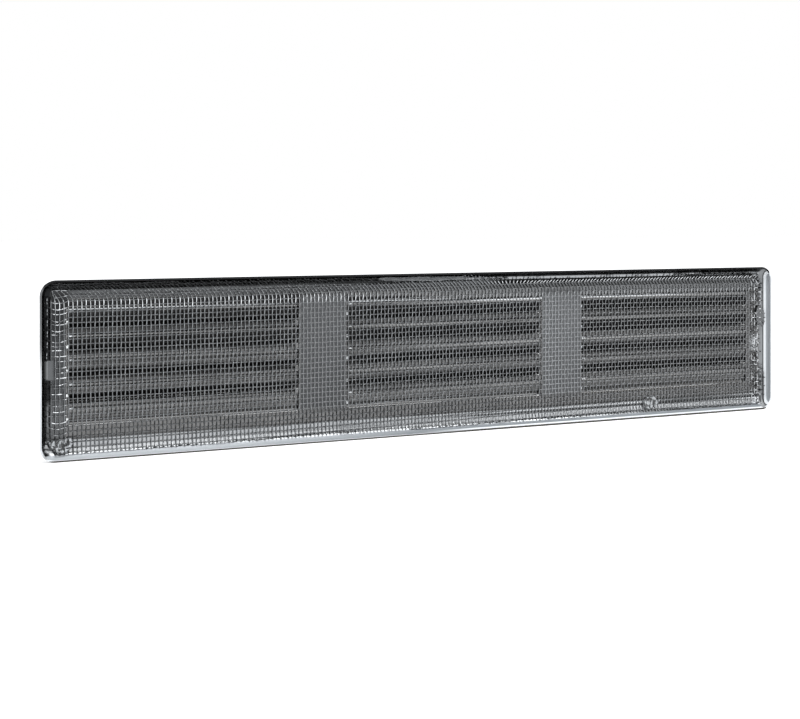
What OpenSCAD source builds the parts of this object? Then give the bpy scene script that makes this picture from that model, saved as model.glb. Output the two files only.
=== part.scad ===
// Louvred ventilation grille: a pressed sheet steel tray with an insect screen in its back.
// Millimetres. The front (the louvre hoods) faces -Y, up is +Z, and the back rim lies in the
// plane Y = 0 with the origin at its centre. Everything is drawn lying down, with the rim at
// z = 0 and the depth towards +z, and stood up by the stand() module at the end.

/* [Tray] */
// Width over all
plate_w = 300; // [220:1:420]
// Height over all
plate_h = 60; // [52:1:90]
// Thickness of the sheet
sheet_t = 0.7; // [0.5:0.1:1.2]
// Depth of the tray behind its rim; the edge is a quarter round of this radius inside
pan_depth = 3.8; // [3:0.1:6]
// Outer radius of the four corners, seen from the front
corner_r = 5.3; // [5:0.1:12]

/* [Louvres] */
// Banks of louvres side by side
banks = 3; // [1:1:4]
// Plain width left at each end of the tray beside the banks
end_margin = 9.4; // [8:0.1:20]
// Plain width left between two banks
bank_gap = 17.6; // [8:0.1:40]
// Louvres in a bank
rows = 5; // [1:1:8]
// Distance from louvre to louvre
row_pitch = 8.1; // [7.6:0.1:12]
// Height of a louvre's opening in the plate
louvre_h = 6.7; // [5.5:0.1:7]
// How far the field of louvres sits above the middle
field_up = 0.8; // [-1:0.1:1.5]
// How far the hood's lip hangs below the lower edge of the opening
lip_drop = 0.3; // [0:0.1:0.8]
// Outer radius of the bend from the plate into the hood
step_r = 0.9; // [0.8:0.1:1.4]
// Steepness of that bend, in degrees
step_a = 60; // [30:1:75]
// Inner radius of the bend at the foot of the step
foot_r = 0.6; // [0.3:0.1:1]
// Width of the narrow ledge below the step
ledge = 0.6; // [0.3:0.1:1]
// Angle that the scoop below the ledge reaches at its lip, in degrees
scoop_a = 45; // [30:1:60]

/* [Screen] */
// Wire of the screen
wire_d = 0.38; // [0.2:0.02:0.5]
// Distance between the upright wires
warp_pitch = 1.446; // [1:0.001:3]
// Distance between the level wires
weft_pitch = 1.807; // [1:0.001:3]
// How far the upright wires turn up the top wall, in degrees
turn_top_a = 80; // [20:1:86]
// How far the upright wires turn up the bottom wall, in degrees
turn_bottom_a = 42; // [10:1:86]
// How far the level wires turn up the wall at +X, in degrees
turn_plus_a = 80; // [20:1:86]
// How far the level wires turn up the wall at -X, in degrees
turn_minus_a = 18; // [6:1:70]
// How much the cut wire ends differ, in degrees
ragged_a = 4; // [0:0.5:5]
// How far the level wires stop short of the bend at the notch
notch_back = 1.2; // [0.5:0.1:3]
// Height of the notch cut in the turned-up screen at +X
notch_h = 6.2; // [3:0.1:12]

/* [Adhesive] */
// Length of the strip of adhesive in the top wall
strip_l = 34; // [10:1:60]
// Its place along X
strip_x = 6; // [-40:1:40]
// Thickness of the adhesive on the screen
glue_t = 0.5; // [0.3:0.05:0.8]
// Size of the dab at the bottom wall
dab_bottom_d = 6.4; // [4:0.1:8]
// Its place along X
dab_bottom_x = -91; // [-120:1:120]
// How far it runs on to the bend of the bottom wall
dab_bottom_lap = 0.4; // [0:0.1:1]
// Size of the dab in the bottom corner at +X
dab_corner_d = 6; // [4:0.1:7]
// Size of the dab beside the end bank at -X
dab_side_d = 5; // [3:0.1:6]
// Its height above the middle
dab_side_z = 5.5; // [-15:0.5:15]

/* [View] */
// What to draw

/* [Hidden] */
$fn = 48;
hair = 0.01;
lap = 0.1;
steel = [0.62, 0.62, 0.63];
wire = [0.70, 0.70, 0.70];
glue = [0.78, 0.78, 0.76];

// outer radius of the edge and its bend line, measured from the centre
edge_r = pan_depth + sheet_t;
bend_x = plate_w / 2 - edge_r;
bend_y = plate_h / 2 - edge_r;
corner_x = plate_w / 2 - corner_r;
corner_y = plate_h / 2 - corner_r;

// hood: where the step, the ledge and the scoop end, down from the top edge and deep from the plate
louvre_len = (plate_w - 2 * end_margin - (banks - 1) * bank_gap) / banks;
bank_pitch = louvre_len + bank_gap;
ledge_s = (step_r + foot_r) * sin(step_a);
ledge_d = (step_r + foot_r) * (1 - cos(step_a));
scoop_s = ledge_s + ledge;
scoop_r = (louvre_h + lip_drop - scoop_s) / sin(scoop_a);
hood_depth = ledge_d + scoop_r * (1 - cos(scoop_a));
field_h = (rows - 1) * row_pitch + louvre_h;

// screen: radii of the two layers of wire where they turn up a wall
weft_r = pan_depth - wire_d / 2;
warp_r = pan_depth - 1.5 * wire_d;
face_r = pan_depth - 2 * wire_d;
warp_n = 2 * floor((corner_x - wire_d / 2) / warp_pitch) + 1;
weft_n = 2 * floor((corner_y - wire_d / 2) / weft_pitch + 0.5);
top_n = floor(turn_top_a * PI / 180 * weft_r / weft_pitch);
wall_n = floor(turn_plus_a * PI / 180 * warp_r / warp_pitch);
bank_x = (banks - 1) / 2 * bank_pitch;

function warp_x(i) = (i - (warp_n - 1) / 2) * warp_pitch;
function weft_y(i) = (i - (weft_n - 1) / 2) * weft_pitch;
function row_top(k) = field_up + field_h / 2 - k * row_pitch;
function frayed(i) = ragged_a * sin(i * 137);

// a quarter of a ring, from radius a to radius b
module quarter(a, b) {
    intersection() {
        difference() {
            circle(b);
            circle(a);
        }
        square(2 * b);
    }
}

// the pressed tray with its rounded edge
module tray() {
    for (s = [-1, 1]) {
        translate([0, s * bend_y, 0])
            rotate([90, 0, s * 90])
            linear_extrude(2 * corner_x, center = true)
            quarter(pan_depth, edge_r);
        translate([s * bend_x, 0, 0])
            rotate([90, 0, 90 - s * 90])
            linear_extrude(2 * corner_y, center = true)
            quarter(pan_depth, edge_r);
    }
    for (a = [0, 1, 2, 3])
        translate([(a == 0 || a == 3 ? 1 : -1) * corner_x, (a < 2 ? 1 : -1) * corner_y, 0])
            rotate([0, 0, a * 90])
            rotate_extrude(angle = 90)
            translate([corner_r - edge_r, 0])
            quarter(pan_depth, edge_r);
    translate([0, 0, pan_depth])
        linear_extrude(sheet_t)
        floor_plan();
}

// the flat of the tray inside the bend line
module floor_plan() {
    square([2 * corner_x, 2 * bend_y], center = true);
    square([2 * bend_x, 2 * corner_y], center = true);
    for (x = [-1, 1], y = [-1, 1])
        translate([x * corner_x, y * corner_y])
            circle(corner_r - edge_r);
}

// the part of a ring from radius a to b between two angles, counted from -y towards +x
module sector(a, b, from, to) {
    intersection() {
        difference() {
            circle(b);
            circle(a);
        }
        polygon([
            [0, 0],
            [2 * b * sin(from), -2 * b * cos(from)],
            [3 * b * sin((from + to) / 2), -3 * b * cos((from + to) / 2)],
            [2 * b * sin(to), -2 * b * cos(to)]
        ]);
    }
}

// section across the hood, down from its top edge: step, foot, ledge and scoop
module roof() {
    translate([0, step_r])
        sector(step_r - sheet_t, step_r, 0, step_a);
    translate([ledge_s, ledge_d - foot_r])
        rotate(180)
        sector(foot_r, foot_r + sheet_t, 0, step_a);
    translate([ledge_s, ledge_d])
        square([ledge, sheet_t]);
    translate([scoop_s, ledge_d + scoop_r])
        sector(scoop_r - sheet_t, scoop_r, 0, scoop_a);
}

// everything between the plate and the middle of that section
module under_roof() {
    m = sheet_t / 2;
    step = [for (i = [0:4]) let (a = step_a * i / 4)
        [(step_r - m) * sin(a), step_r - (step_r - m) * cos(a)]];
    foot = [for (i = [4:-1:0]) let (a = step_a * i / 4)
        [ledge_s - (foot_r + m) * sin(a), ledge_d - foot_r + (foot_r + m) * cos(a)]];
    scoop = [for (i = [0:8]) let (a = scoop_a * i / 8)
        [scoop_s + (scoop_r - m) * sin(a), ledge_d + scoop_r - (scoop_r - m) * cos(a)]];
    polygon(concat([[-m, -m]], [[-m, m]], step, foot, scoop, [[louvre_h + 4 * m, hood_depth + 2 * m]],
        [[louvre_h + 4 * m, -m]]));
}

// section along the hood through one of its end walls, with the plate's end at x = 0
module end_wall() {
    translate([0, step_r])
        sector(step_r - sheet_t, step_r, 0, 90);
    translate([step_r - sheet_t, step_r])
        square([sheet_t, hood_depth + sheet_t]);
}

// everything between the middles of the two end walls
module between_ends() {
    m = step_r - sheet_t / 2;
    side = [for (i = [0:4]) let (a = 90 * i / 4)
        [louvre_len / 2 - m * sin(a), step_r - m * cos(a)]];
    right = concat([[louvre_len / 2, -sheet_t]], side, [[louvre_len / 2 - m, hood_depth + 4 * sheet_t]]);
    left = [for (i = [len(right) - 1:-1:0]) [-right[i][0], right[i][1]]];
    polygon(concat(right, left));
}

// a louvre hood, hanging from its top edge at y = 0, open along its lower side
module hood() {
    intersection() {
        rotate([90, 0, -90])
            linear_extrude(louvre_len + 2 * sheet_t, center = true)
            roof();
        translate([0, sheet_t, 0])
            rotate([90, 0, 0])
            linear_extrude(louvre_h + lip_drop + 4 * sheet_t)
            between_ends();
    }
    for (s = [-1, 1])
        intersection() {
            translate([-s * louvre_len / 2, 0, 0])
                rotate([90, 0, 0])
                linear_extrude(louvre_h)
                mirror([s < 0 ? 1 : 0, 0])
                end_wall();
            rotate([90, 0, -90])
                linear_extrude(louvre_len + 4 * sheet_t, center = true)
                under_roof();
        }
}

module louvre_plate() {
    color(steel)
    stand() {
        difference() {
            tray();
            for (b = [0:banks - 1], k = [0:rows - 1])
                translate([b * bank_pitch - bank_x, row_top(k) - louvre_h / 2, pan_depth])
                    cube([louvre_len, louvre_h, 4 * sheet_t], center = true);
        }
        for (b = [0:banks - 1], k = [0:rows - 1])
            translate([b * bank_pitch - bank_x, row_top(k), pan_depth])
                hood();
    }
}

// a quarter turn or less of wire, rising from the floor towards +x round a bend of radius r
module turn_up(r, a) {
    rotate([90, 0, 0])
        rotate([0, 0, 90 - a])
        rotate_extrude(angle = a)
        translate([r, 0])
        circle(d = wire_d);
}

// a round wire from x0 to x1, turned up by a0 and a1 degrees round bends of radius r; the leg is
// a hair thinner than the bends and runs a little way into them, so that all is one solid
module bent_wire(x0, x1, r, a0, a1) {
    lap0 = a0 > 0 ? lap : 0;
    lap1 = a1 > 0 ? lap : 0;
    translate([x0 - lap0, 0, r])
        rotate([0, 90, 0])
        cylinder(h = x1 - x0 + lap0 + lap1, d = wire_d - hair);
    if (a1 > 0)
        translate([x1, 0, 0])
            turn_up(r, a1);
    if (a0 > 0)
        translate([x0, 0, 0])
            mirror([1, 0, 0])
            turn_up(r, a0);
}

// upright wires with a place along X from lo to hi
module warp(lo, hi) {
    color(wire)
    stand()
    for (i = [0:warp_n - 1])
        if (warp_x(i) >= lo && warp_x(i) < hi)
            translate([warp_x(i), 0, 0])
                rotate([0, 0, 90])
                bent_wire(-bend_y, bend_y, warp_r, turn_bottom_a + frayed(i), turn_top_a);
}

// level wires with a place along Z from lo to hi; those in the notch stop short of the wall
module weft(lo, hi) {
    color(wire)
    stand()
    for (i = [0:weft_n - 1])
        if (weft_y(i) >= lo && weft_y(i) < hi)
            translate([0, weft_y(i), 0])
                if (abs(weft_y(i)) < notch_h / 2)
                    bent_wire(-bend_x, bend_x - notch_back, weft_r, turn_minus_a + frayed(i), 0);
                else
                    bent_wire(-bend_x, bend_x, weft_r, turn_minus_a + frayed(i), turn_plus_a);
}

module warp_end_1() {
    warp(-plate_w, -bank_x - louvre_len / 2);
}

module warp_bank_1() {
    warp(-bank_x - louvre_len / 2, -bank_x + louvre_len / 2);
}

module warp_gap_1() {
    warp(-bank_x + louvre_len / 2, -louvre_len / 2);
}

module warp_bank_2() {
    warp(-louvre_len / 2, louvre_len / 2);
}

module warp_gap_2() {
    warp(louvre_len / 2, bank_x - louvre_len / 2);
}

module warp_bank_3() {
    warp(bank_x - louvre_len / 2, bank_x + louvre_len / 2);
}

module warp_end_2() {
    warp(bank_x + louvre_len / 2, plate_w);
}

// upright wires that lie on the wall at +X, cut through by the notch
module warp_wall() {
    color(wire)
    stand()
    for (j = [1:wall_n], s = [-1, 1]) {
        a = j * warp_pitch / warp_r * 180 / PI;
        l = corner_y - notch_h / 2;
        translate([bend_x + warp_r * sin(a), s * (notch_h + l) / 2, warp_r * cos(a)])
            rotate([90, 0, 0])
            cylinder(h = l, d = wire_d, center = true);
    }
}

// level wires that lie on the top wall
module weft_top_wall() {
    color(wire)
    stand()
    for (j = [1:top_n]) {
        a = j * weft_pitch / weft_r * 180 / PI;
        translate([0, bend_y + weft_r * sin(a), weft_r * cos(a)])
            rotate([0, 90, 0])
            cylinder(h = 2 * corner_x, d = wire_d, center = true);
    }
}

// the one level wire that lies on the bottom wall
module weft_bottom_wall() {
    a = weft_pitch / weft_r * 180 / PI;
    color(wire)
    stand()
    translate([0, -bend_y - weft_r * sin(a), weft_r * cos(a)])
        rotate([0, 90, 0])
        cylinder(h = 2 * corner_x, d = wire_d, center = true);
}

module weft_top_margin() {
    weft(row_top(0), plate_h);
}

module weft_row(k) {
    weft(row_top(k + 1), row_top(k));
}

module weft_row_1() {
    weft_row(0);
}

module weft_row_2() {
    weft_row(1);
}

module weft_row_3() {
    weft_row(2);
}

module weft_row_4() {
    weft_row(3);
}

module weft_row_5() {
    weft_row(4);
}

module weft_bottom_margin() {
    weft(-plate_h, row_top(5));
}

// a strip of adhesive smeared along the screen where it lies on the top wall
module glue_strip() {
    color(glue)
    stand()
    translate([strip_x, bend_y, 0])
        rotate([90, 0, 90])
        linear_extrude(strip_l, center = true)
        intersection() {
            quarter(face_r - glue_t, face_r);
            polygon([[0, 0], [0.1 * edge_r, edge_r], [edge_r, edge_r], [edge_r, 0.1 * edge_r]]);
        }
}

// a dab of adhesive of diameter d on the screen, with its middle at x, y
module dab(x, y, d) {
    color(glue)
    stand()
    translate([x, y, face_r - glue_t])
        rotate_extrude()
        intersection() {
            translate([0, glue_t]) {
                square([d - 2 * glue_t, 2 * glue_t], center = true);
                translate([d / 2 - glue_t, 0])
                    circle(glue_t);
            }
            square([d, glue_t]);
        }
}

module glue_bottom() {
    dab(dab_bottom_x, dab_bottom_d / 2 - bend_y - dab_bottom_lap, dab_bottom_d);
}

module glue_corner() {
    dab(bend_x - dab_corner_d / 2, dab_corner_d / 2 - bend_y, dab_corner_d);
}

module glue_side() {
    dab(dab_side_d / 2 - bend_x, dab_side_z, dab_side_d);
}

// turns a shape drawn lying down so that its depth points to -Y
module stand() {
    rotate([90, 0, 0])
        children();
}

louvre_plate();
warp_end_1();
warp_bank_1();
warp_gap_1();
warp_bank_2();
warp_gap_2();
warp_bank_3();
warp_end_2();
warp_wall();
weft_top_wall();
weft_top_margin();
weft_row_1();
weft_row_2();
weft_row_3();
weft_row_4();
weft_row_5();
weft_bottom_margin();
weft_bottom_wall();
glue_strip();
glue_bottom();
glue_corner();
glue_side();
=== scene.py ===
"""Ventilation grille: a louvred sheet steel tray with a woven insect screen in its back.

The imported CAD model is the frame. The tray stays as the CAD has it and gets its steel; the
screen is woven here wire by wire over the CAD's plain wires, and the dabs of adhesive are
shaped here too. Lengths are in metres; the screen is laid out in millimetres and scaled.
"""
import math
import random

import bmesh
import bpy
import numpy as np
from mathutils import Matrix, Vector


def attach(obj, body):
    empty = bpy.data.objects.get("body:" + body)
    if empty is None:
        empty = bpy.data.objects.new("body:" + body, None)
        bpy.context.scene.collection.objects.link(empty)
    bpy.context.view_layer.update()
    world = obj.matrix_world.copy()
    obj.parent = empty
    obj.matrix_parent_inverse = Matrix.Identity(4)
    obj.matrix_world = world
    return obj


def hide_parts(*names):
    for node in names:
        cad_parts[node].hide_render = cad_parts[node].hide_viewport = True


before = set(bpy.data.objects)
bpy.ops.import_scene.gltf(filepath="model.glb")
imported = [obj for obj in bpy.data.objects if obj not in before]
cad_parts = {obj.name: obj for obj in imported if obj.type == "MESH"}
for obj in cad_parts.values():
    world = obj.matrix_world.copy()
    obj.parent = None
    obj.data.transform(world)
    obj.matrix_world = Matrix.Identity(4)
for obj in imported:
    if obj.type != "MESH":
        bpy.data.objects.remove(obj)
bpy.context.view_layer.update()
rng = random.Random(7)
MM = 0.001

# the tray, as part.scad has it, in millimetres
PLATE_W, PLATE_H = 300.0, 60.0
PAN_DEPTH, SHEET_T = 3.8, 0.7
CORNER_R = 5.3
BANK_PITCH, LOUVRE_LEN = 99.6, 82.0
ROW_PITCH, LOUVRE_H, FIELD_UP, ROWS = 8.1, 6.7, 0.8, 5
EDGE_R = PAN_DEPTH + SHEET_T
BEND_X = PLATE_W / 2 - EDGE_R
BEND_Z = PLATE_H / 2 - EDGE_R
ROW_TOP = FIELD_UP + ((ROWS - 1) * ROW_PITCH + LOUVRE_H) / 2
LOUVRE_END = LOUVRE_LEN / 2
HALF_GAP = (BANK_PITCH - LOUVRE_LEN) / 2

# the screen
WIRE_D = 0.38
VIEW_D = 0.36                        # wire as the photograph shows it
WARP_PITCH, WEFT_PITCH = 1.446, 1.807
WARP_HALF = 100                      # upright wires on each side of the middle one
WEFT_N = 28                          # level wires on the flat of the tray
WEFT_MIDDLE = (WEFT_N - 1) / 2
MEAN_R = PAN_DEPTH - WIRE_D          # depth of the middle of the weave
TURN_TOP, TURN_BOTTOM, TURN_PLUS = 80.0, 42.0, 80.0    # degrees that it climbs the walls
BOTTOM_END = -(BEND_Z + math.radians(TURN_BOTTOM) * MEAN_R)
PLUS_END = BEND_X + math.radians(TURN_PLUS) * MEAN_R
NOTCH_H, NOTCH_BACK = 6.2, 1.2       # notch at +X, and how far it is cut back from the bend
OVERHANG = 0.4                       # level wires in the walls beyond the last upright one
SIDES = 6                            # faces round a wire
STEEP = 0.95                         # wires nearer than this to the Y axis turn about Z
STEPS = 4                            # points along a wire from crossing to crossing

# how the screen departs from an even, flat weave
LEAN, LEAN_FROM, LEAN_SPAN = 0.16, 22.2, 3.0     # it is pulled askew above this height
LEAN_END = (143, 146)                            # and the pull dies away here near +X
HOOK, HOOK_FROM = 1.9, 25.2                      # higher up its cut ends bend the other way
HOOK_SIDE = (20, 40)                             # which sets in here towards -X
SAG, SAG_FROM, SAG_SPAN = 0.55, 140.2, 7.0       # level wires sag between the bank and the wall
SKEW, SKEW_FROM, SKEW_SPAN = 1.28, 10.0, 215.0   # the screen is laid in a little askew
SKEW_MEAN = -0.31
SWAY = 0.05                                      # small unevenness of the spacing
LIFT_FLAT, LIFT_EDGE = 0.035, 0.22               # it stands off the flat, and more in the bends
LIFT_Z, LIFT_X = (22.5, 26.5), (142, 146.5)      # where the one goes over into the other
EDGE_CRIMP = 0.3                                 # share of the weave left in a wire in the wall
BARE_LO, BARE_HI = -12.0, 24.0                   # the part of the top wall that it leaves bare
MAX_TURN = 1.5                                   # radians, most that it turns up a wall

# the noise: a full turn for its phases, and what brings its peaks to about 1
FULL_TURN = 6.28
WAVE_PEAK = 1.6

# uneven edges and spacing, as smooth steps: each has its size and the two places between
# which it is taken
# upright wires off their even places, by the distance from the end at +X
SPREAD_START, SPREAD = 0.1, ((-1.3, 115, 165), (1.7, 212, 285))
# level wires past the bend at -X, by height
REACH_START = 0.5
REACH = ((0.7, 12, 14), (0.5, 21, 23), (1.8, 4, 6), (-1.8, 11, 13), (1.9, -10, -13))
# degrees that the screen climbs the top wall, by x, where it starts from TURN_TOP at +X
TOP_CUT = ((-58, -14, -30), (8, -95, -110))
# degrees where it leaves that wall bare, and the waves of its edge there: size, pace, phase
BARE_CUT, BARE_WAVES = 26, ((9, 1.1, 0), (5, 2.7, 1))

# how fast the painted light and dark bands in the foot of the tray fall towards -X
FOOT_FALL = 0.008


def waves(seed, count, shortest, longest):
    """Smooth seeded noise over the plane, about -1 to 1, from a few crossing waves."""
    r = random.Random(seed)
    terms = []
    for _ in range(count):
        length = r.uniform(shortest, longest)
        angle = r.uniform(0, math.pi)
        k = 2 * math.pi / length
        terms.append((k * math.cos(angle), k * math.sin(angle), r.uniform(0, FULL_TURN)))

    def field(u, v):
        total = sum(np.sin(a * u + b * v + c) for a, b, c in terms)
        return total / math.sqrt(count / 2) / WAVE_PEAK
    return field


sway_u = waves(11, 9, 9, 60)
sway_v = waves(12, 9, 9, 60)
swell = waves(13, 8, 8, 30)


def smooth(x, a, b):
    """Goes smoothly from 0 at a to 1 at b."""
    t = np.clip((x - a) / (b - a), 0, 1)
    return t * t * (3 - 2 * t)


def stepped(x, start, steps):
    """Start, plus each step as far as it is taken at x."""
    total = start
    for size, a, b in steps:
        total = total + size * smooth(x, a, b)
    return total


def lift(u, v):
    """How far the screen stands off the tray, most where it turns into the walls."""
    edge = np.maximum(smooth(np.abs(v), *LIFT_Z), smooth(np.abs(u), *LIFT_X))
    return LIFT_FLAT * (1 + swell(u, v)) * (1 - edge) + LIFT_EDGE * (1 + swell(v, u)) * edge


def rise(u):
    """How far the level wires stand above their even places, across the screen."""
    return SKEW_MEAN - SKEW * np.cos(math.pi * (PLATE_W / 2 - u - SKEW_FROM) / SKEW_SPAN)


def stretch(u):
    """How far the upright wires stand from their even places."""
    return -stepped(PLATE_W / 2 - u, SPREAD_START, SPREAD)


def place(u, v, off):
    """Point at u, v on the middle of the screen, lifted by off millimetres from the sheet."""
    up = v + rise(u)
    off = off + lift(u, up)
    past = np.maximum(up - LEAN_FROM, 0)
    bent = np.minimum(past, LEAN_SPAN)
    pull = LEAN * bent * (2 * past - bent) * (1 - smooth(u, *LEAN_END))
    hook = HOOK * np.maximum(up - HOOK_FROM, 0) * smooth(-u, *HOOK_SIDE)
    across = u + stretch(u) + SWAY * sway_u(u, v) + pull - hook
    sag = SAG * np.sin(math.pi * np.clip((u - SAG_FROM) / SAG_SPAN, 0, 1)) * (1 + swell(v, 3 * v))
    up = up + SWAY * sway_v(u, v) - sag
    ru = MEAN_R - off
    au = np.clip((np.abs(across) - BEND_X) / MEAN_R, 0, MAX_TURN)
    av = np.clip((np.abs(up) - BEND_Z) / MEAN_R, 0, MAX_TURN)
    x = np.sign(across) * (np.minimum(np.abs(across), BEND_X) + ru * np.sin(au))
    z = np.sign(up) * (np.minimum(np.abs(up), BEND_Z) + ru * np.sin(av))
    deep = np.cos(au) * np.cos(av)
    return np.stack([x, -ru * deep, z], axis=-1)


def crimp(s, pitch, phase):
    """Weaving wave along a wire: 1 over a wire, -1 under the next."""
    return np.cos(math.pi * s / pitch + phase * math.pi)


def minus_reach(z):
    """How far the level wires run past the bend at -X, at height z."""
    return stepped(z, REACH_START, REACH)


def top_cut(x):
    """Height along an upright wire where the screen is cut off in the top wall."""
    angle = stepped(x, TURN_TOP, TOP_CUT)
    if BARE_LO < x < BARE_HI:
        angle = BARE_CUT + sum(size * math.sin(k * x + c) for size, k, c in BARE_WAVES)
    return BEND_Z + math.radians(angle) * MEAN_R


def warp_path(i, lo, hi):
    """Upright wire i from height lo to hi on the tray, measured along the wire."""
    x = i * WARP_PITCH
    lo, hi = lo - rise(x), hi - rise(x)
    v = np.linspace(lo, hi, max(2, int(round((hi - lo) / WEFT_PITCH * STEPS)) + 1))
    wave = crimp(v + WEFT_MIDDLE * WEFT_PITCH, WEFT_PITCH, i)
    if abs(x) > BEND_X:
        wave = wave * EDGE_CRIMP
    return place(np.full(len(v), x), v, wave * WIRE_D / 2)


def weft_runs(j, lo, hi):
    """Level wire j from lo to hi, in the runs where it lies between the cut edges."""
    u = np.linspace(lo, hi, max(2, int(round((hi - lo) / WARP_PITCH * STEPS)) + 1))
    v = np.full(len(u), (j - WEFT_MIDDLE) * WEFT_PITCH)
    points = place(u, v, crimp(u, WARP_PITCH, j + 1) * WIRE_D / 2)
    top = np.array([top_cut(x) for x in u])
    on = (v + rise(u) > BOTTOM_END) & (v + rise(u) < top)
    cuts = np.flatnonzero(np.diff(on.astype(int))) + 1
    runs = np.split(np.arange(len(u)), cuts)
    return [points[r] for r in runs if on[r[0]] and len(r) > 2 * STEPS]


def add_piece(name, mesh, material, node):
    """Adds a mesh to the scene as the piece that stands for a CAD node."""
    obj = bpy.data.objects.new(name, mesh)
    bpy.context.scene.collection.objects.link(obj)
    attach(obj, "root")
    obj.data.materials.append(material)
    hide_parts(node)


def add_wires(node, paths, material):
    """One mesh of round wires along the given paths, each closed at both ends."""
    verts, faces = [], []
    base = 0
    ring = np.arange(SIDES) * 2 * math.pi / SIDES
    ca, sa = np.cos(ring), np.sin(ring)
    for path in paths:
        n = len(path)
        t = np.gradient(path, axis=0)
        t /= np.linalg.norm(t, axis=1)[:, None]
        side = np.cross(t, np.array([0.0, 1.0, 0.0]))
        steep = np.abs(t[:, 1]) > STEEP
        if steep.any():
            side[steep] = np.cross(t[steep], np.array([0.0, 0.0, 1.0]))
        side /= np.linalg.norm(side, axis=1)[:, None]
        for k in range(1, n):
            if np.dot(side[k], side[k - 1]) < 0:
                side[k] = -side[k]
        nor = np.cross(side, t)
        rings = (path[:, None, :]
                 + VIEW_D / 2 * (ca[None, :, None] * side[:, None, :]
                                 + sa[None, :, None] * nor[:, None, :]))
        verts.append(rings.reshape(-1, 3))
        a = np.arange(n - 1)[:, None] * SIDES + np.arange(SIDES)[None, :]
        b = np.arange(n - 1)[:, None] * SIDES + (np.arange(SIDES)[None, :] + 1) % SIDES
        quad = np.stack([a, a + SIDES, b + SIDES, b], axis=-1).reshape(-1, 4) + base
        faces.extend(quad.tolist())
        faces.append([base + k for k in range(SIDES)])
        faces.append([base + (n - 1) * SIDES + k for k in reversed(range(SIDES))])
        base += n * SIDES
    mesh = bpy.data.meshes.new("screen_" + node)
    mesh.from_pydata((np.concatenate(verts) * MM).tolist(), [], faces)
    mesh.validate()
    mesh.update()
    mesh.shade_smooth()
    add_piece("screen_" + node, mesh, material, node)


# materials
def grey(value, warmth=-0.03):
    """Grey with more red than blue, or the other way round where warmth is below 0."""
    return (value * (1 + warmth), value, value * (1 - warmth))


BLACK = grey(0.012, -0.05)
REAR = ("ny", -0.1, 0.1)             # mask of what faces out of the back
TO_PLUS = ("x", -15, 15)             # mask from the middle to +X
TO_MINUS = ("x", 15, -15)            # mask from the middle to -X
MARGIN = ("x", 140.7, 141.3)         # mask of the margin beyond the last bank at +X
SHORT_SIDE = ("x", -14, -24)         # mask of where the screen hardly climbs the top wall


def gap_between(middle, soft):
    """The two masks that bound the gap between two banks, with soft sides."""
    return (("x", middle - HALF_GAP - soft, middle - HALF_GAP + soft),
            ("x", middle + HALF_GAP + soft, middle + HALF_GAP - soft))


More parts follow.
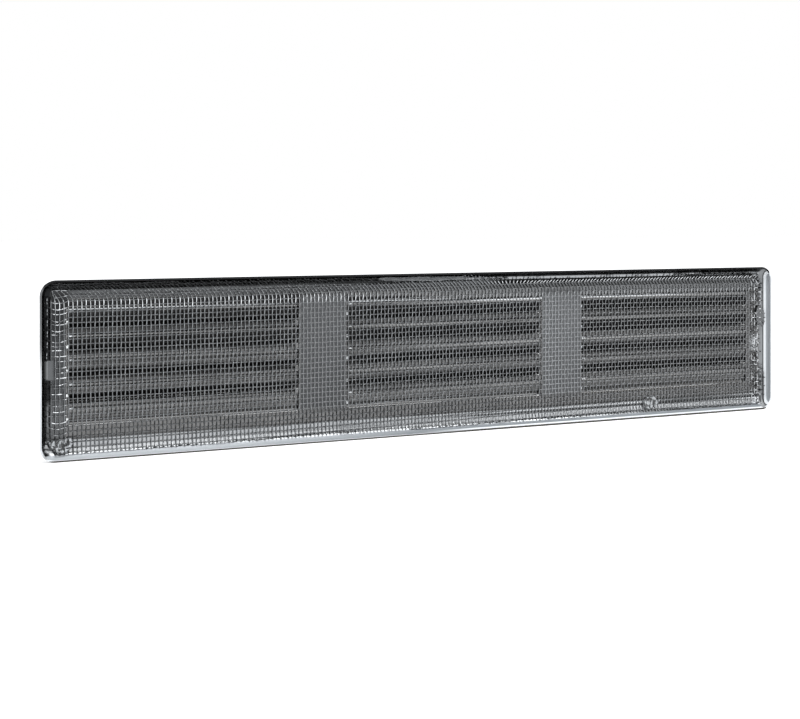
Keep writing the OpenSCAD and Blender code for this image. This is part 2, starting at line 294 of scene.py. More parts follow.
class Look:
    """A material whose colour, painted light and shade among it, is laid up from masks over place
    and facing.

    A mask is a node's output, or an axis with the two values between which it goes from 0 to
    1: x, y and z in millimetres, nx, ny and nz for the way the surface faces, and foot for z
    in the foot of the tray, where the painted light and dark bands fall towards -X.
    """

    def __init__(self, name):
        self.material = bpy.data.materials.new(name)
        self.material.use_nodes = True
        self.nodes = self.material.node_tree.nodes
        self.links = self.material.node_tree.links
        self.shader = self.nodes["Principled BSDF"]
        self.coord = self.nodes.new("ShaderNodeTexCoord").outputs["Object"]
        geometry = self.nodes.new("ShaderNodeNewGeometry")
        self.axis = {}
        for prefix, vector in (("", self.coord), ("n", geometry.outputs["Normal"])):
            parts = self.nodes.new("ShaderNodeSeparateXYZ")
            self.links.new(vector, parts.inputs[0])
            for letter, output in zip("xyz", parts.outputs):
                self.axis[prefix + letter] = output
        fall = self.math("MAXIMUM", self.math("MULTIPLY", self.axis["x"], -FOOT_FALL), 0.0)
        self.axis["foot"] = self.math("ADD", self.axis["z"], fall)
        self.colour = None
        self.pale = None
        self.painted_shade = None

    def math(self, kind, *values):
        """One sum over numbers and outputs."""
        m = self.nodes.new("ShaderNodeMath")
        m.operation = kind
        for socket, value in zip(m.inputs, values):
            if isinstance(value, (int, float)):
                socket.default_value = value
            else:
                self.links.new(value, socket)
        return m.outputs[0]

    def noise(self, scale, detail, rough, squeeze=(1, 1, 1)):
        """Cloudy noise over the place, drawn out where squeeze is below 1."""
        m = self.nodes.new("ShaderNodeMapping")
        m.inputs["Scale"].default_value = squeeze
        self.links.new(self.coord, m.inputs["Vector"])
        n = self.nodes.new("ShaderNodeTexNoise")
        n.inputs["Scale"].default_value = scale
        n.inputs["Detail"].default_value = detail
        n.inputs["Roughness"].default_value = rough
        self.links.new(m.outputs["Vector"], n.inputs["Vector"])
        return n.outputs["Fac"]

    def ramp(self, fac, stops):
        """Greys or colours at their stops, blended between them."""
        r = self.nodes.new("ShaderNodeValToRGB")
        elements = r.color_ramp.elements
        while len(elements) < len(stops):
            elements.new(0.5)
        for element, (position, value) in zip(elements, stops):
            element.position = position
            colour = value if isinstance(value, tuple) else (value, value, value)
            element.color = (*colour, 1)
        self.links.new(fac, r.inputs["Fac"])
        return r.outputs["Color"]

    def mix(self, fac, a, b):
        """Colour a where fac is 0, b where it is 1."""
        m = self.nodes.new("ShaderNodeMix")
        m.data_type = "RGBA"
        self.links.new(fac, m.inputs["Factor"])
        for socket, value in ((m.inputs[6], a), (m.inputs[7], b)):
            if isinstance(value, tuple):
                socket.default_value = (*value, 1)
            else:
                self.links.new(value, socket)
        return m.outputs[2]

    def bump(self, height, strength, distance):
        """Small relief from a height, in the shader's normal."""
        b = self.nodes.new("ShaderNodeBump")
        b.inputs["Strength"].default_value = strength
        b.inputs["Distance"].default_value = distance
        self.links.new(height, b.inputs["Height"])
        self.feed("Normal", b.outputs["Normal"])

    def feed(self, socket, value):
        """Links an output to a socket of the shader."""
        self.links.new(value, self.shader.inputs[socket])

    def fade(self, value, start, end, unit=MM, kind="LINEAR"):
        """Mask over a value that goes from 0 at start to 1 at end."""
        m = self.nodes.new("ShaderNodeMapRange")
        m.interpolation_type = kind
        m.inputs["From Min"].default_value = start * unit
        m.inputs["From Max"].default_value = end * unit
        self.links.new(value, m.inputs["Value"])
        return m.outputs["Result"]

    def edge(self, axis, start, end):
        """Smooth mask along an axis that goes from 0 at start to 1 at end."""
        unit = 1.0 if axis.startswith("n") else MM
        return self.fade(self.axis[axis], start, end, unit, "SMOOTHSTEP")

    def band(self, value, start, full, fade, end):
        """Mask that rises from start to full and falls from fade to end, in millimetres."""
        return self.mask(self.fade(value, start, full), self.fade(value, end, fade))

    def mask(self, *edges):
        """All the masks multiplied."""
        fac = None
        for e in edges:
            one = self.edge(*e) if isinstance(e, tuple) else e
            fac = one if fac is None else self.math("MULTIPLY", fac, one)
        return fac

    def wrap(self, axis, offset, sign, low, high):
        """The place along an axis folded back into one repeat, in metres."""
        shifted = self.math("MULTIPLY_ADD", self.axis[axis], sign, offset * MM)
        return self.math("WRAP", shifted, high * MM, low * MM)

    def along(self, value, length, stops):
        """Grey ramp over a folded place, with its stops in millimetres."""
        part = self.math("DIVIDE", value, length * MM)
        return self.ramp(part, [(at / length, tone) for at, tone in stops])

    def lay(self, colour, amount, *edges):
        """Lays a colour over what is there, where every mask is 1."""
        fac = self.math("MULTIPLY", self.mask(*edges), amount)
        self.colour = self.mix(fac, self.colour, colour)

    def lay_painted_light(self, colour, *edges):
        """Lays painted light, a colour that also scatters light, as bright metal does towards a
        wide lamp.
        """
        fac = self.mask(*edges)
        self.lay(colour, 1.0, fac)
        self.pale = fac if self.pale is None else self.math("MAXIMUM", self.pale, fac)

    def matt(self, tone, black, dull, *edges):
        """Notes where a painted tone is as dark as deep shade, where the surface is to have no
        shine.
        """
        self.painted_shade = self.mask(self.fade(tone, dull, black, 1.0), *edges)


def paint_hoods(look):
    """Painted shade and highlights in the hoods, drawn for one louvre and the strip below it,
    folded over all.
    """
    down = look.wrap("z", ROW_TOP, -1.0, 0, ROW_PITCH)
    across = look.wrap("x", 0, 1.0, -BANK_PITCH / 2, BANK_PITCH / 2)
    within = look.fade(look.math("ABSOLUTE", across), LOUVRE_END + 0.2, LOUVRE_END - 0.2)
    far_upper = look.along(down, ROW_PITCH, [(0.0, 0.07), (0.5, 0.05), (0.8, 0.20), (1.5, 0.28),
                                             (1.9, 0.20), (2.3, 0.025), (6.6, 0.012),
                                             (7.1, 0.10), (8.0, 0.10)])
    far_lower = look.along(down, ROW_PITCH, [(0.0, 0.13), (0.6, 0.15), (1.1, 0.22), (1.7, 0.25),
                                             (2.2, 0.09), (3.3, 0.08), (3.8, 0.015),
                                             (6.8, 0.012), (7.2, 0.08), (8.0, 0.12)])
    near_lower = look.along(down, ROW_PITCH, [(0.0, 0.13), (0.3, 0.17), (1.4, 0.19),
                                              (1.65, 0.05), (2.2, 0.05), (2.4, 0.13),
                                              (3.9, 0.11), (4.2, 0.012), (7.6, 0.015),
                                              (7.9, 0.09)])
    near_upper = look.along(down, ROW_PITCH, [(0.0, 0.05), (0.75, 0.04), (0.9, 0.28),
                                              (1.3, 0.24), (1.5, 0.03), (2.6, 0.02),
                                              (6.4, 0.012), (6.9, 0.03), (8.0, 0.05)])
    below = look.edge("z", 5.0, 4.3)
    near = look.mix(below, near_upper, near_lower)
    far = look.mix(below, far_upper, far_lower)
    hood = look.mix(look.edge("x", 0, 62), far, near)
    # the dark of a hood ends on a slant at its -X end, where the louvre rounds into the plate
    slanted = look.math("MULTIPLY_ADD", down, -0.28, across)
    rounded = look.fade(slanted, -LOUVRE_END - 0.3, -LOUVRE_END + 0.3)
    field = look.mask(("y", -3.7, -3.78), REAR, within, rounded, ("z", ROW_TOP, ROW_TOP - 0.05))
    look.lay(hood, 1.0, field, ("z", -13.2, -11.8))
    look.matt(hood, 0.02, 0.05, field, ("z", -12.4, -11.9), ("x", 45, 25))
    # painted light: the last row, which is lighter
    row_end = ("z", -19.3, -19.1)
    last = look.along(down, ROW_PITCH, [(0.0, 0.12), (0.9, 0.13), (1.4, 0.18), (1.9, 0.17),
                                        (2.2, 0.13), (5.8, 0.16), (6.0, 0.42), (6.25, 0.42),
                                        (6.4, 0.13)])
    look.lay(last, 1.0, field, ("z", -11.6, -12.0), row_end)
    look.lay(grey(0.11, 0.03), 0.9, field, ("z", -17.6, -17.8), row_end, ("x", -30, -60))
    # painted highlight on the bend at the top of the first row, a little lower at -X
    look.lay(grey(0.6), 1.0, field, ("z", ROW_TOP - 0.15, ROW_TOP - 0.25),
             ("z", ROW_TOP - 0.7, ROW_TOP - 0.6), ("x", -10, 5))
    look.lay(grey(0.9), 1.0, field, ("z", ROW_TOP - 0.75, ROW_TOP - 0.85),
             ("z", ROW_TOP - 1.35, ROW_TOP - 1.25), ("x", 0, -15), ("x", -118, -95))
    # painted glints where the end walls at +X bend out of the plate, and at the ends of the top
    # bends
    glints = (("z", ROW_TOP, ROW_TOP - 0.1), ("ny", 0.1, 0.3), ("z", -19.2, -19.0))
    look.lay(grey(1.0), 1.0, look.band(across, LOUVRE_END - 0.9, LOUVRE_END - 0.5,
                                       LOUVRE_END + 0.1, LOUVRE_END + 0.3),
             look.band(down, 4.0, 4.3, 5.0, 5.3), *glints)
    look.lay(grey(0.9), 1.0, look.band(across, LOUVRE_END - 2.4, LOUVRE_END - 2.0,
                                       LOUVRE_END - 1.0, LOUVRE_END - 0.6),
             look.band(down, 0.6, 0.8, 1.3, 1.5), *glints)
    # painted shade: black above the first row towards +X
    look.lay(BLACK, 0.9, ("z", ROW_TOP - 0.1, ROW_TOP + 0.1), ("z", 21.9, 21.5), REAR,
             ("y", -4.2, -4.0), ("x", 0, 20))
    look.lay(BLACK, 0.9, ("z", 21.3, 21.6), ("z", 23.5, 23.2), REAR, ("x", 30, 60))


def paint_flats(look):
    """The flat of the tray round the banks."""
    # painted light in the gaps between the banks, lighter at -X and towards the top
    for middle, tones in ((BANK_PITCH / 2, (0.095, 0.14)), (-BANK_PITCH / 2, (0.155, 0.21))):
        shade = look.mix(look.edge("z", -18, 20), grey(tones[0]), grey(tones[1]))
        look.lay_painted_light(shade, *gap_between(middle, 0.3), REAR, ("z", -20, -17), ("z", 23.5, 22))
    # above the louvres, from the middle to -X
    look.lay(grey(0.18), 0.9, ("z", ROW_TOP, ROW_TOP + 0.2), ("z", 24.6, 24.0), REAR,
             ("x", 10, -30))
    # the margin at +X, darker at its top
    look.lay(grey(0.045, -0.06), 0.9, MARGIN, ("z", -21.5, -20.5), REAR)
    look.lay(grey(0.015), 0.6, MARGIN, ("z", 6, 14), REAR)


def paint_top(look, stain_and_shading):
    """Top wall in painted shade: near black at +X; towards -X dark, then a pale painted
    reflection, then black below the rim.
    """
    look.lay(grey(0.08), 1.0, ("z", 23.4, 23.8), REAR)
    look.lay(grey(0.02), 0.8, ("z", 22.6, 23.8), ("x", 138, 142), REAR)
    # painted shade where the wall faces down, mottled by noise
    painted_shade = look.ramp(stain_and_shading, [(0.4, grey(0.012)), (0.7, grey(0.045))])
    look.lay(painted_shade, 0.97, ("z", 25.8, 26.8), ("nz", -0.05, -0.35))
    look.lay(grey(0.012), 1.0, ("z", 25.2, 25.5), ("nz", -0.5, -0.4), ("nz", 0.1, 0.0), REAR,
             SHORT_SIDE)
    wall = ("z", 25.0, 25.5)
    side = ("x", 24, 14)
    look.lay(grey(0.32), 1.0, wall, ("nz", -0.36, -0.44), ("nz", -0.68, -0.62), side)
    look.lay(grey(0.014), 1.0, wall, ("nz", -0.64, -0.70), ("nz", -0.97, -0.93), side)


def paint_plus_end(look):
    """Wall at +X in painted shade, black, but bare grey metal in the notch of the screen, with a
    painted highlight on its bend.
    """
    notch = (("z", -NOTCH_H / 2 - 0.3, -NOTCH_H / 2), ("z", NOTCH_H / 2 + 0.3, NOTCH_H / 2))
    inner = ("nx", 0.1, 0.0)
    look.lay(BLACK, 0.97, ("x", 145.2, 146.2), ("nx", -0.05, -0.3))
    look.lay(grey(0.09), 0.9, MARGIN, ("x", 147.7, 147.3), ("z", -9, -13), ("z", -26, -24),
             REAR)
    look.lay(grey(0.10, -0.04), 1.0, ("x", 144.6, 145.6), *notch, REAR)
    look.lay(grey(0.05), 1.0, ("x", 147.2, 147.8), *notch, inner)
    look.lay(grey(0.16), 1.0, ("x", 146.8, 147.0), ("x", 147.4, 147.2), *notch, inner)


def paint_foot(look):
    """Foot of the tray: bright with painted highlights, whitest in the wall at +X; in painted
    light and dark bands towards -X.
    """
    look.lay(grey(0.03), 0.6, ("z", -22.6, -22.8), REAR)
    bright = look.mix(look.edge(*TO_PLUS), grey(0.54), grey(0.36))
    look.lay(bright, 1.0, ("z", -23.2, -23.6), REAR)
    look.lay(grey(0.05), 0.9, ("z", -24.2, -24.5), REAR, TO_MINUS)
    look.lay(grey(0.05), 0.9, ("z", -23.7, -24.0), REAR, ("x", -85, -100))
    look.lay(grey(0.66), 1.0, ("z", -25.0, -25.3), ("nz", -0.1, 0.0), REAR, TO_MINUS)
    look.lay(grey(0.44), 1.0, ("z", -25.4, -26.2), ("nz", 0.05, 0.4), TO_PLUS)
    look.lay(grey(0.75), 0.9, ("z", -26.0, -26.3), ("nz", 0.0, 0.1), TO_PLUS)
    look.lay(grey(0.17), 0.9, ("z", -26.9, -27.3), ("nz", 0.3, 0.45), TO_PLUS)
    look.lay(grey(0.08), 0.6, ("foot", -26.7, -26.9), ("nz", 0.1, 0.2), TO_MINUS)
    look.lay(grey(0.015), 0.9, ("foot", -26.8, -27.0), ("nz", 0.1, 0.2), ("x", -70, -105))
    look.lay(grey(0.50), 1.0, ("foot", -27.4, -27.6), ("nz", 0.3, 0.4), TO_MINUS)
    foot = look.mix(look.edge("x", -15, 110), grey(0.23, -0.08), grey(0.50, -0.05))
    look.lay_painted_light(foot, ("z", -27.8, -28.2), ("nz", 0.6, 0.75))
    look.lay_painted_light(grey(0.95), ("z", -28.6, -28.9), ("nz", 0.90, 0.94), TO_MINUS)


def paint_minus_end(look, stain_and_shading):
    """Painted light behind the screen near the end at -X, painted shade in specks along its
    ragged edge, and painted reflections in the wall there.
    """
    # painted light on the plate behind the screen
    caught = look.ramp(stain_and_shading, [(0.42, 0.1), (0.58, 0.75)])
    look.lay(grey(0.6), caught, ("x", -140.4, -142.5), ("x", -146.5, -145), ("z", -6.5, -3.5),
             ("z", 3.0, 0.5), REAR)
    # painted shade: dark specks on the plate along the ragged edge of the screen
    shade_specks = look.ramp(look.noise(620, 3, 0.6), [(0.52, 0.0), (0.58, 0.7)])
    for low, high in ((4.5, 12.0), (-24.0, -6.0)):
        look.lay(grey(0.015), shade_specks, ("x", -141.5, -143.5), ("x", -147.2, -146.8), REAR,
                 ("z", low - 1, low + 1), ("z", high + 1, high - 1))
    # the wall, in painted reflections: grey, a dark line, white, blue grey
    wall = ("x", -145.3, -145.9)
    look.lay_painted_light(grey(0.28), wall, ("nx", 0.1, 0.3))
    look.lay(grey(0.03), 1.0, wall, ("nx", 0.56, 0.59), ("nx", 0.67, 0.63))
    look.lay_painted_light(grey(0.92), wall, ("nx", 0.65, 0.69))
    look.lay_painted_light(grey(0.40, -0.06), wall, ("nx", 0.83, 0.87))


def paint_rim(look):
    """The cut edge of the sheet: painted highlights below and at the ends, painted shade at its
    brink and on top.
    """
    rim = (("y", -0.3, -0.05), ("ny", 0.7, 0.9))
    look.lay_painted_light(grey(0.9), ("z", -28.6, -29.0), *rim)
    look.lay(grey(0.03, 0.2), 1.0, ("z", -29.4, -29.5), *rim)
    look.lay(grey(0.03, 0.2), 1.0, ("z", -29.1, -29.2), *rim, TO_MINUS)
    look.lay_painted_light(grey(0.95), ("x", -148.6, -149.0), *rim)
    look.lay(grey(0.55), 1.0, ("x", -149.3, -149.5), *rim)
    look.lay_painted_light(grey(0.80), ("x", 148.6, 149.0), ("z", 12, 0), *rim)
    look.lay(grey(0.16), 0.9, ("x", 148.6, 149.0), ("z", -4, 12), *rim)
    look.lay(grey(0.02), 0.95, ("z", 28.6, 29.0), *rim)


def plate_material():
    """Rolled steel, a little stained, with painted light and shade inside."""
    look = Look("pressed_steel")
    grain = look.noise(2600, 3, 0.6, (0.04, 1, 1))
    cloud = look.noise(60, 5, 0.6)
    stain_and_shading = look.noise(210, 6, 0.7, (0.5, 1, 1.4))
    base = look.ramp(cloud, [(0.3, (0.130, 0.131, 0.134)), (0.7, (0.178, 0.178, 0.177))])
    stained = look.ramp(stain_and_shading, [(0.42, 0.0), (0.75, 0.7)])
    look.colour = look.mix(stained, base, (0.10, 0.099, 0.096))
    paint_hoods(look)
    paint_flats(look)
    paint_top(look, stain_and_shading)
    paint_plus_end(look)
    paint_foot(look)
    paint_minus_end(look, stain_and_shading)
    paint_rim(look)
    look.feed("Base Color", look.colour)
    # where painted light is laid it scatters as a matt surface; where the painted shade is
    # darkest it has no shine
    rough = look.ramp(stain_and_shading, [(0.25, 0.16), (0.75, 0.34)])
    rough = look.mix(look.pale, rough, grey(0.5))
    rough = look.mix(look.painted_shade, rough, grey(0.95))
    look.feed("Roughness", rough)
    dull = look.math("MAXIMUM", look.math("MULTIPLY", look.pale, 0.9), look.painted_shade)
    look.feed("Metallic", look.math("SUBTRACT", 1.0, dull))
    look.feed("Specular IOR Level", look.math("MULTIPLY_ADD", look.painted_shade, -0.5, 0.5))
    look.bump(grain, 0.12, 0.00004)
    return look.material


def paint_upright(look, fine, seen):
    """Upright wires: painted paler at -X, painted highlights in bright strokes and painted shade
    in a dark, tangled patch along the top at +X.
    """
    look.lay(grey(0.17), 0.6, ("x", -20, -60))
    strength = look.ramp(look.noise(330, 3, 0.6, (1, 1, 0.5)), [(0.40, 0.35), (0.60, 1.0)])
    look.lay(grey(0.85), strength, ("z", 19.8, 20.6), ("z", 23.4, 22.8), seen, ("x", 0, 50))
    look.lay(grey(0.45), 0.7, ("z", 19.4, 20.4), ("z", 22.4, 21.6), seen, ("x", 50, 0))
    tangle_shade = look.ramp(fine, [(0.42, grey(0.03)), (0.50, grey(0.10)), (0.62, grey(0.5))])
    look.lay(tangle_shade, 0.8, ("z", 23.0, 23.6), ("x", 0, 50))
    look.lay(grey(0.14), 0.8, ("z", 21.2, 21.8), ("z", 25.2, 24.8), ("x", 10, -30))
    # painted highlight where the wires turn into the top wall, and painted shade beyond it
    look.lay(grey(0.85), 0.9, ("z", 25.3, 25.5), ("z", 26.5, 26.3), SHORT_SIDE)
    look.lay(grey(0.02), 0.9, ("z", 26.3, 26.5), SHORT_SIDE)


def paint_level(look, seen):
    """Level wires: painted shade, black, in the bends towards -X, and broken flecks of painted
    light at +X.
    """
    look.lay(grey(0.22), 0.7, ("x", -20, -60), seen)
    look.lay(grey(0.012), 0.95, ("z", 25.2, 25.6), SHORT_SIDE)
    look.lay(grey(0.015), 0.9, ("foot", -26.7, -26.9), ("x", -70, -105))
    look.lay(grey(0.015), 0.9, ("z", -24.2, -24.4), ("z", -25.2, -25.0), ("x", -10, -30))
    look.lay(grey(0.20), 0.8, ("z", 19.8, 20.4), ("z", 26.0, 25.0))
    flecks = look.ramp(look.noise(420, 3, 0.6), [(0.48, 0.0), (0.55, 1.0)])
    look.lay(grey(0.70), 1.0, ("x", 140.6, 141.2), ("x", 145.9, 145.4), seen, flecks,
             ("z", -24, -16))


def wire_material(name, low, high, top, upright):
    """Thin drawn wire, painted brighter on its upper side and darker below, dull in patches."""
    look = Look(name)
    patch = look.noise(130, 4, 0.6)
    fine = look.noise(3000, 2, 0.5)
    seen = ("ny", 0.2, 0.7)
    look.colour = look.ramp(patch, [(0.3, grey(low, -0.04)), (0.7, grey(high, -0.04))])
    # painted light on the upper side, painted shade on the lower
    look.lay(grey(top, -0.01), 0.9, ("nz", 0.45, 0.95))
    look.lay(grey(0.06), 0.7, ("nz", -0.3, -0.9))
    # painted light over plain metal, where the screen hardly shows: between the banks and below
    # the louvres
    gap_tones = (0.50, 0.28) if upright else (0.38, 0.21)
    for middle, shade in zip((-BANK_PITCH / 2, BANK_PITCH / 2), gap_tones):
        look.lay_painted_light(grey(shade), *gap_between(middle, 0.4), ("z", -20, -17), ("z", 21.5, 20))
    look.lay(grey(0.125), 0.85, ("z", -18.2, -18.8), ("z", -23.4, -22.8))
    look.lay(grey(0.04), 0.85, ("z", -21.5, -22.5), ("x", 136.5, 138))
    if upright:
        paint_upright(look, fine, seen)
    else:
        paint_level(look, seen)
    # painted light and shade in the ragged margin at -X
    mixed = look.ramp(look.noise(700, 3, 0.6),
                      [(0.42, grey(0.012)), (0.48, grey(0.16)), (0.57, grey(0.7))])
    look.lay(mixed, 0.9, ("x", -141.2, -142.5))
    # painted shade: in the walls it is black at +X, but for one wire in the bend with a painted
    # highlight
    wall_shade = look.ramp(fine, [(0.45, grey(0.015)), (0.64, grey(0.08))])
    look.lay(wall_shade, 0.92, ("z", 26.2, 26.9), ("x", 16, 26))
    look.lay(grey(0.012), 0.92, ("x", 145.6, 146.2), ("z", -14, -9))
    look.lay(grey(0.012), 0.92, ("x", 147.2, 147.6))
    if upright:
        dash = look.band(look.wrap("z", 0, 1.0, 0, 2 * WEFT_PITCH), 0.2, 0.5, 2.0, 2.4)
        look.lay(grey(0.35), 1.0, ("x", 146.9, 147.0), ("x", 147.6, 147.5), seen, dash,
                 ("z", NOTCH_H / 2, NOTCH_H / 2 + 0.1))
    # painted shade on the wires at the wall at -X
    look.lay(grey(0.03), 0.8, ("x", -146.4, -146.8))
    look.feed("Base Color", look.colour)
    look.feed("Roughness", look.ramp(fine, [(0.3, 0.2), (0.7, 0.38)]))
    dull = look.math("MULTIPLY", look.pale, 0.9)
    look.feed("Metallic", look.math("SUBTRACT", 1.0, dull))
    return look.material


def glue_material():
    """Clear adhesive under a glossy skin, with painted reflections in streaks of white and dark
    in the foot.
    """
    look = Look("clear_adhesive")
    cloud = look.noise(420, 5, 0.6)
    streak = look.noise(900, 3, 0.55, (1, 1, 0.6))
    look.colour = look.ramp(cloud, [(0.3, grey(0.20)), (0.7, grey(0.32))])
    glint = look.ramp(streak, [(0.42, grey(0.08)), (0.49, grey(0.45)), (0.55, grey(1.0))])
    look.lay(glint, 0.9, ("z", -15, -18))
    look.feed("Base Color", look.colour)
    look.feed("Roughness", look.ramp(cloud, [(0.3, 0.15), (0.7, 0.3)]))
    look.shader.inputs["Transmission Weight"].default_value = 0.5
    look.shader.inputs["IOR"].default_value = 1.42
    look.bump(cloud, 0.15, 0.0003)
    return look.material


steel = plate_material()
upright_wire = wire_material("screen_wire_upright", 0.20, 0.32, 0.6, True)
level_wire = wire_material("screen_wire_level", 0.10, 0.16, 0.22, False)
glue = glue_material()
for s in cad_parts["louvre_plate"].material_slots:
    s.material = steel


# weave the screen
def ragged(spread=0.3):
    """How far a wire is cut from its even end."""
    return rng.uniform(-spread, spread)


WARP_NODES = ("warp_end_1", "warp_bank_1", "warp_gap_1", "warp_bank_2", "warp_gap_2",
              "warp_bank_3", "warp_end_2")
ZONES = (-PLATE_W, -BANK_PITCH - LOUVRE_END, -BANK_PITCH + LOUVRE_END, -LOUVRE_END, LOUVRE_END,
         BANK_PITCH - LOUVRE_END, BANK_PITCH + LOUVRE_END, PLATE_W)
# lengths of the two wires beyond the last at -X, which are cut off in the middle
CUT_OFF = ((1, BOTTOM_END, -12.5), (1, 5.5, 25.0), (2, BOTTOM_END, -14.0), (2, 5.5, 11.5))

for node, zone_lo, zone_hi in zip(WARP_NODES, ZONES, ZONES[1:]):
    paths = []
    for i in range(-WARP_HALF, WARP_HALF + 1):
        x = i * WARP_PITCH
        if zone_lo <= x < zone_hi:
            paths.append(warp_path(i, BOTTOM_END + ragged(), top_cut(x) + ragged()))
    if node == "warp_end_1":
        for beyond, lo, hi in CUT_OFF:
            paths.append(warp_path(-WARP_HALF - beyond, lo + ragged(), hi + ragged()))
    add_wires(node, paths, upright_wire)

WEFT_ZONES = [("weft_top_margin", ROW_TOP, PLATE_H)]
for k in range(ROWS):
    WEFT_ZONES.append(("weft_row_%d" % (k + 1), ROW_TOP - (k + 1) * ROW_PITCH,
                       ROW_TOP - k * ROW_PITCH))
WEFT_ZONES.append(("weft_bottom_margin", -PLATE_H, ROW_TOP - ROWS * ROW_PITCH))

for node, lo, hi in WEFT_ZONES:
    paths = []
    for j in range(WEFT_N):
        z = (j - WEFT_MIDDLE) * WEFT_PITCH
        if lo <= z < hi:
            in_notch = abs(z + rise(BEND_X)) < NOTCH_H / 2
            end = BEND_X - NOTCH_BACK if in_notch else PLUS_END
            start = -BEND_X - float(minus_reach(z + rise(-BEND_X)))
            paths += weft_runs(j, start + ragged(0.5), end + ragged())
    add_wires(node, paths, level_wire)

wall_end = WARP_HALF * WARP_PITCH + OVERHANG
for node, first, count in (("weft_top_wall", WEFT_N, 5), ("weft_bottom_wall", -4, 4)):
    paths = []
    for j in range(first, first + count):
        paths += weft_runs(j, -wall_end + ragged(), wall_end + ragged())
    add_wires(node, paths, level_wire)

paths = []
corner = PLATE_H / 2 - CORNER_R
for i in range(WARP_HALF + 1, WARP_HALF + 4):
    paths.append(warp_path(i, -corner + ragged(), -NOTCH_H / 2 + ragged()))
    paths.append(warp_path(i, NOTCH_H / 2 + ragged(), corner + ragged()))
add_wires("warp_wall", paths, upright_wire)

# dabs of adhesive
FILM_RINGS, FILM_SPOKES = 14, 96
FILM_LOBES = (2, 3, 5, 7, 11)        # waves round its outline
LOBE_LOW, LOBE_HIGH = 0.04, 0.13     # and how high they may be
LUMP_LEVEL, LUMP_SIZE = 0.75, 0.35   # its thickness and how much that varies
FILM_UNDER = 0.18                    # how far it sinks between the wires
FILM_WELD = 0.002                    # points nearer than this are joined at its brink


def add_film(node, at, half, base, thick, seed, square=1.0):
    """Lumpy film of adhesive in the screen, closed all round, in place of a CAD dab."""
    r = random.Random(seed)
    lobes = [(k, r.uniform(0, FULL_TURN), r.uniform(LOBE_LOW, LOBE_HIGH) / math.sqrt(k))
             for k in FILM_LOBES]
    lumps = waves(seed, 8, 1.2, 5.0)
    angle = np.arange(FILM_SPOKES) * 2 * math.pi / FILM_SPOKES
    outline = 1 + sum(a * np.sin(k * angle + c) for k, c, a in lobes)
    c, s = np.cos(angle), np.sin(angle)
    c = np.sign(c) * np.abs(c) ** square
    s = np.sign(s) * np.abs(s) ** square
    verts, faces = [], []
    for face in (1, -1):
        for k in range(FILM_RINGS + 1):
            part = k / FILM_RINGS
            u = at[0] + half[0] * part * outline * c
            v = at[1] + half[1] * part * outline * s
            dome = math.sqrt(max(0.0, 1 - part ** 3))
            off = -FILM_UNDER * dome
            if face > 0:
                off = thick * dome * (LUMP_LEVEL + LUMP_SIZE * lumps(u, v))
            verts.append(place(u - stretch(u), v - rise(u), base + off))
    for face in (0, 1):
        for k in range(FILM_RINGS):
            for i in range(FILM_SPOKES):
                j = (i + 1) % FILM_SPOKES
                a = (face * (FILM_RINGS + 1) + k) * FILM_SPOKES
                quad = [a + i, a + j, a + FILM_SPOKES + j, a + FILM_SPOKES + i]
                faces.append(quad if face else quad[::-1])
    mesh = bpy.data.meshes.new("film_" + node)
    mesh.from_pydata((np.concatenate(verts) * MM).tolist(), [], faces)
    work = bmesh.new()
    work.from_mesh(mesh)
    bmesh.ops.remove_doubles(work, verts=work.verts, dist=FILM_WELD * MM)
    bmesh.ops.recalc_face_normals(work, faces=work.faces)
    work.to_mesh(mesh)
    work.free()
    mesh.shade_smooth()
    add_piece("film_" + node, mesh, glue, node)


add_film("glue_strip", at=(6.0, 28.9), half=(17.0, 1.6), base=0.1, thick=0.2, seed=3, square=0.6)
add_film("glue_bottom", at=(-91.0, -24.4), half=(3.8, 2.4), base=0.1, thick=0.22, seed=5)
add_film("glue_corner", at=(142.6, -24.6), half=(3.6, 2.8), base=0.0, thick=0.22, seed=8)
add_film("glue_side", at=(-146.2, 9.5), half=(1.9, 4.2), base=0.1, thick=0.22, seed=13)

# stage: floor, world, lamps and camera
FLOOR_Z, FLOOR_SIZE = -PLATE_H / 2 * MM, 4.0
FLOOR_COLOUR = (0.82, 0.82, 0.82, 1)
GLOW_FROM, GLOW_TO = 0.25, 1.2       # distance over which the floor goes over into plain white
GLOW_NEAR, GLOW_FAR = 0.45, 1.0
WHITE = (1, 1, 1, 1)
SKY_COLOUR, SKY_STRENGTH = (0.9, 0.95, 1.0, 1), 0.35
LAMPS = (("top_softbox", (-0.10, 0.25, 0.75), 0.9, 0.5, 9.0),
         ("front_softbox", (-0.30, -0.60, 0.60), 0.7, 0.5, 6.0))
EYE, GAZE = (0.205, 0.422, 0.050), (-0.399, -0.917, 0)
LENS, SENSOR = 56.25, 36.0
HORIZON_SHIFT = -0.175
CLIP_START = 0.01


def shown(tree):
    """1 for the rays that see the background, from the camera, in metal and through glass."""
    path = tree.nodes.new("ShaderNodeLightPath")
    seen = path.outputs["Is Camera Ray"]
    for ray in ("Is Glossy Ray", "Is Transmission Ray"):
        larger = tree.nodes.new("ShaderNodeMath")
        larger.operation = "MAXIMUM"
        tree.links.new(seen, larger.inputs[0])
        tree.links.new(path.outputs[ray], larger.inputs[1])
        seen = larger.outputs[0]
    return seen


def make_world():
    """Soft sky light, seen as plain white."""
    world = bpy.data.worlds.new("studio")
    bpy.context.scene.world = world
    world.use_nodes = True
    tree = world.node_tree
    tree.nodes.clear()
    out = tree.nodes.new("ShaderNodeOutputWorld")
    pick = tree.nodes.new("ShaderNodeMixShader")
    tree.links.new(shown(tree), pick.inputs[0])
    for k, (colour, strength) in enumerate(((SKY_COLOUR, SKY_STRENGTH), (WHITE, 1.0))):
        sky = tree.nodes.new("ShaderNodeBackground")
        sky.inputs["Color"].default_value = colour
        sky.inputs["Strength"].default_value = strength
        tree.links.new(sky.outputs[0], pick.inputs[k + 1])
    tree.links.new(pick.outputs[0], out.inputs[0])


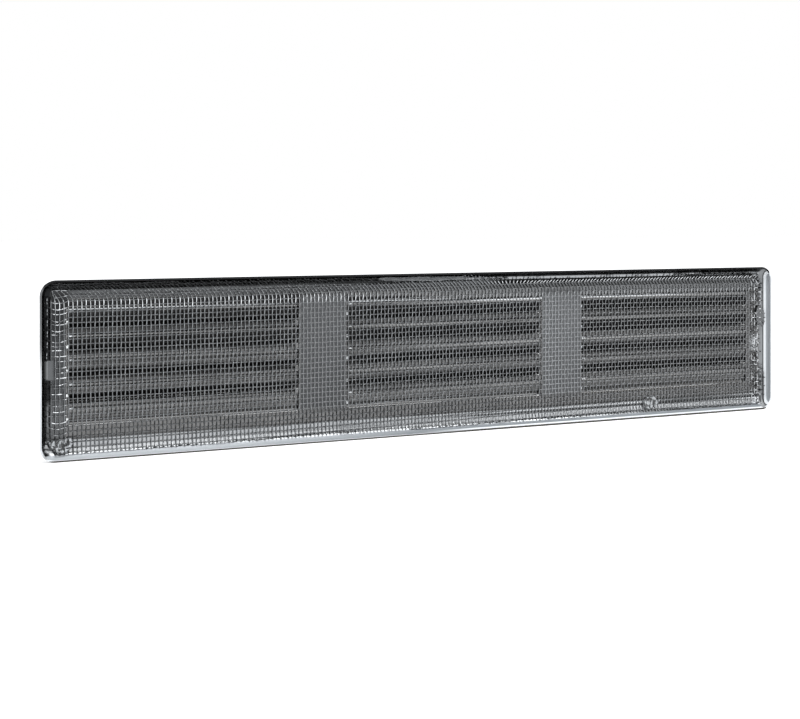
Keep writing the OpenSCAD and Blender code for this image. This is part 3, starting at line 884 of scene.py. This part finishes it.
def floor_material():
    """Matt and pale, and brighter with distance to the eye alone, up to plain white."""
    mat = bpy.data.materials.new("pale_floor")
    mat.use_nodes = True
    tree = mat.node_tree
    tree.nodes.clear()
    out = tree.nodes.new("ShaderNodeOutputMaterial")
    matt = tree.nodes.new("ShaderNodeBsdfDiffuse")
    matt.inputs["Color"].default_value = FLOOR_COLOUR
    glow = tree.nodes.new("ShaderNodeEmission")
    glow.inputs["Color"].default_value = WHITE
    spot = tree.nodes.new("ShaderNodeNewGeometry")
    reach = tree.nodes.new("ShaderNodeVectorMath")
    reach.operation = "LENGTH"
    tree.links.new(spot.outputs["Position"], reach.inputs[0])
    far = tree.nodes.new("ShaderNodeMapRange")
    far.interpolation_type = "SMOOTHSTEP"
    far.inputs["From Min"].default_value = GLOW_FROM
    far.inputs["From Max"].default_value = GLOW_TO
    far.inputs["To Min"].default_value = GLOW_NEAR
    far.inputs["To Max"].default_value = GLOW_FAR
    tree.links.new(reach.outputs["Value"], far.inputs["Value"])
    gain = tree.nodes.new("ShaderNodeMath")
    gain.operation = "MULTIPLY"
    tree.links.new(shown(tree), gain.inputs[0])
    tree.links.new(far.outputs["Result"], gain.inputs[1])
    tree.links.new(gain.outputs[0], glow.inputs["Strength"])
    both = tree.nodes.new("ShaderNodeAddShader")
    tree.links.new(matt.outputs[0], both.inputs[0])
    tree.links.new(glow.outputs[0], both.inputs[1])
    tree.links.new(both.outputs[0], out.inputs["Surface"])
    return mat


def add_lamp(name, at, width, height, power):
    """Soft rectangular lamp that points at the middle of the part."""
    lamp = bpy.data.lights.new(name, "AREA")
    lamp.shape = "RECTANGLE"
    lamp.size, lamp.size_y = width, height
    lamp.energy = power
    obj = bpy.data.objects.new(name, lamp)
    obj.location = at
    obj.rotation_euler = (-Vector(at)).to_track_quat("-Z", "Y").to_euler()
    bpy.context.scene.collection.objects.link(obj)


make_world()
mesh = bpy.data.meshes.new("floor")
corners = ((-1, -1), (1, -1), (1, 1), (-1, 1))
mesh.from_pydata([(x * FLOOR_SIZE, y * FLOOR_SIZE, FLOOR_Z) for x, y in corners],
                 [], [(0, 1, 2, 3)])
mesh.materials.append(floor_material())
floor = bpy.data.objects.new("floor", mesh)
bpy.context.scene.collection.objects.link(floor)

for lamp in LAMPS:
    add_lamp(*lamp)

cam = bpy.data.cameras.new("camera")
cam.lens, cam.sensor_width = LENS, SENSOR
cam.sensor_fit = "HORIZONTAL"
cam.shift_y = HORIZON_SHIFT
cam.clip_start = CLIP_START
camera = bpy.data.objects.new("camera", cam)
camera.location = EYE
camera.rotation_euler = Vector(GAZE).to_track_quat("-Z", "Y").to_euler()
bpy.context.scene.collection.objects.link(camera)
bpy.context.scene.camera = camera
bpy.context.scene.view_settings.view_transform = "Standard"
